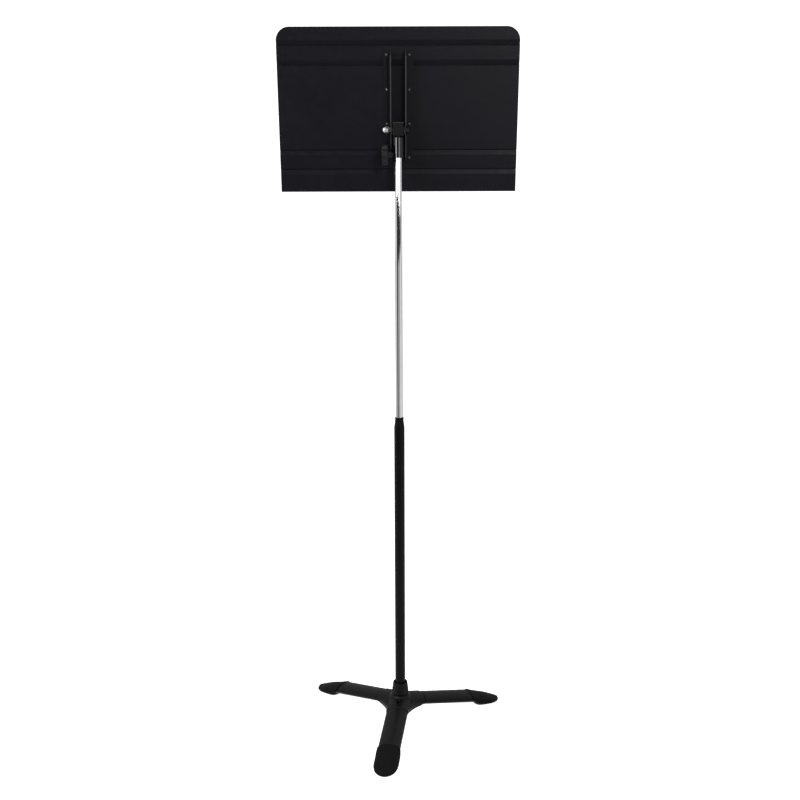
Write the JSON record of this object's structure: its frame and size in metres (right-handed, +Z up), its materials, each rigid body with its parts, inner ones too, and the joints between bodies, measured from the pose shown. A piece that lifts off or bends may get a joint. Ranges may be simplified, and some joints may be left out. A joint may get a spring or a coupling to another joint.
{
  "type": "music stand",
  "caption": "Orchestra music stand: tilting pressed-steel desk with a ledge, chrome shaft that slides and turns in a painted tube, and a tripod base with moulded boots",
  "frame": {"origin": "on the floor at the middle of the bounding box; the pole's axis is 43.06 mm from it, towards the player (-Y)", "axes": "+Z up; the player sits on the -Y side and faces +Y; +X is the player's right"},
  "size_m": [0.508, 0.4194, 1.5555],
  "materials": {
    "desk_paint": "satin black powder coat on pressed steel sheet",
    "block_paint": "satin black on a cast block",
    "tube_paint": "smooth semi-gloss black on steel tube",
    "base_paint": "satin black on the legs and the cast hub",
    "boot_rubber": "matte black moulded boots",
    "collar_plastic": "matte black moulded collar",
    "neck_gloss": "glossy black moulded sleeve",
    "knob_plastic": "satin black moulded star knob",
    "chrome": "bright chrome plate on steel tube",
    "bright_steel": "bright nickel plate",
    "yellow_zinc": "yellow zinc plate",
    "rivet_steel": "steel rivet heads, lightly painted over",
    "black_steel": "black oxide steel",
    "inner_steel": "bare zinc-plated steel",
    "black_fibre": "dark pressed fibre, matte",
    "nylon": "natural nylon",
    "brass_pad": "brass pad at the screw's tip"
  },
  "bodies": {
    "base": {"outer_tube": "tube_paint", "guide_bushing": "nylon", "tube_insert": "inner_steel", "foot_collar": "collar_plastic", "base_bolt": "inner_steel", "base_washer": "inner_steel", "hub": "base_paint", "hub_set_screw": "black_steel", "leg_screws": "black_steel", "leg_rear": "base_paint", "leg_left": "base_paint", "leg_right": "base_paint", "boot_rear": "boot_rubber", "boot_left": "boot_rubber", "boot_right": "boot_rubber"},
    "clutch": {"friction_sleeve": "nylon", "upper_wedge": "nylon", "lower_wedge": "nylon", "clutch_spring": "inner_steel"},
    "shaft": {"shaft_tube": "chrome", "shaft_plug": "inner_steel", "clutch_stem": "inner_steel", "neck_sleeve": "neck_gloss", "tilt_block": "block_paint"},
    "desk": {"desk_panel": "desk_paint", "rail_left": "desk_paint", "rail_right": "desk_paint", "rail_rivets": "rivet_steel", "tilt_bolt": "black_steel", "cap_nut": "bright_steel", "spring_washer": "yellow_zinc", "flat_washers": "yellow_zinc", "head_washer": "black_steel", "friction_washers": "black_fibre"},
    "clamp_pad": {"pressure_pad": "brass_pad"},
    "knob": {"clamp_knob": "knob_plastic", "clamp_screw": "black_steel"}
  },
  "joints": [
    {"name": "height_slide", "type": "slide", "parent": "base", "child": "clutch", "axis": [0, 0, 1], "range_m": [-0.559, 0]},
    {"name": "shaft_turn", "type": "hinge", "parent": "clutch", "child": "shaft", "pos_m": [0, -0.04306, 0.66], "axis": [0, 0, 1], "continuous": true},
    {"name": "desk_tilt", "type": "hinge", "parent": "shaft", "child": "desk", "pos_m": [0, -0.06406, 1.3482], "axis": [1, 0, 0], "range_deg": [-82.6, 12.4]},
    {"name": "clamp_travel", "type": "slide", "parent": "shaft", "child": "clamp_pad", "axis": [1, 0, 0], "range_m": [0, 0.002]},
    {"name": "knob_turn", "type": "hinge", "parent": "clamp_pad", "child": "knob", "pos_m": [0.0222, -0.04306, 1.2964], "axis": [1, 0, 0], "range_deg": [0, 720.1]}
  ],
  "couplings": [
    {"joint": "knob_turn", "follows": "clamp_travel", "rad_per_m": 6283.2}
  ]
}
